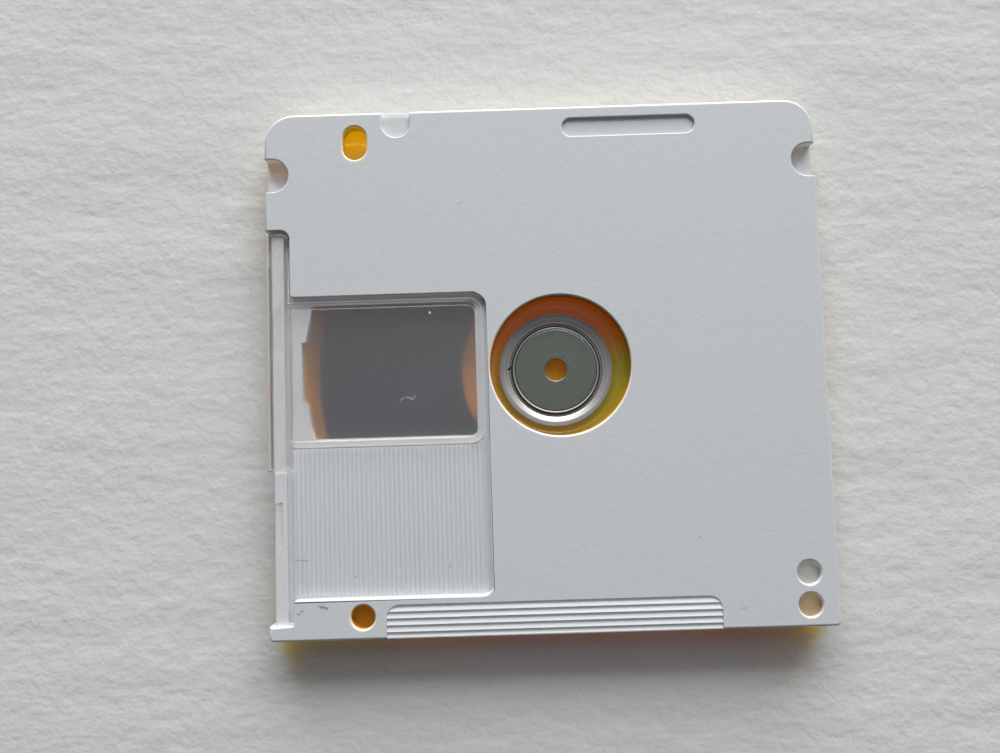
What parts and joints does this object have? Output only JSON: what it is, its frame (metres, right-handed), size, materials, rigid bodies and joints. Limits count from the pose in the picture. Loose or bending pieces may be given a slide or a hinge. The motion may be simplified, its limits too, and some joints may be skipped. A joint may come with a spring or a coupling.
{
  "type": "minidisc",
  "caption": "Flat square optical disc cartridge of two moulded shells, with a clear disc that spins inside, a translucent sliding shutter on its underside and a spindle opening.",
  "frame": {"origin": "middle of the label face, in the plane that the cartridge lies on", "axes": "+Z out of the underside, +Y the way the cartridge is inserted, +X from the shutter edge to the plain edge"},
  "size_m": [0.072, 0.068, 0.005],
  "materials": {
    "white_plastic": "fine moulded texture",
    "amber_plastic": "smooth translucent amber",
    "clear_plastic": "clear and polished",
    "mirror_film": "mirror film",
    "steel": "satin pressed sheet",
    "milky_plastic": "milky translucent",
    "lock_plastic": "moulded"
  },
  "bodies": {
    "cartridge": {"lower_shell": "white_plastic", "upper_shell": "amber_plastic"},
    "disc": {"disc_substrate": "clear_plastic", "mirror_layer": "mirror_film", "clamping_plate": "steel"},
    "shutter": {"shutter": "milky_plastic"},
    "lock": {"shutter_lock": "lock_plastic"}
  },
  "joints": [
    {"name": "shutter_slide", "type": "slide", "parent": "cartridge", "child": "shutter", "axis": [0, -1, 0], "range_m": [0, 0.0187]},
    {"name": "disc_spin", "type": "hinge", "parent": "cartridge", "child": "disc", "pos_m": [0.0014, -0.00045, 0.002], "axis": [0, 0, 1], "continuous": true},
    {"name": "lock_turn", "type": "hinge", "parent": "cartridge", "child": "lock", "pos_m": [-0.0332, 0.0208, 0.002], "axis": [0, 0, -1], "range_deg": [0, 5], "stiffness_Nm_per_rad": 0.0001, "springref_deg": 5}
  ]
}
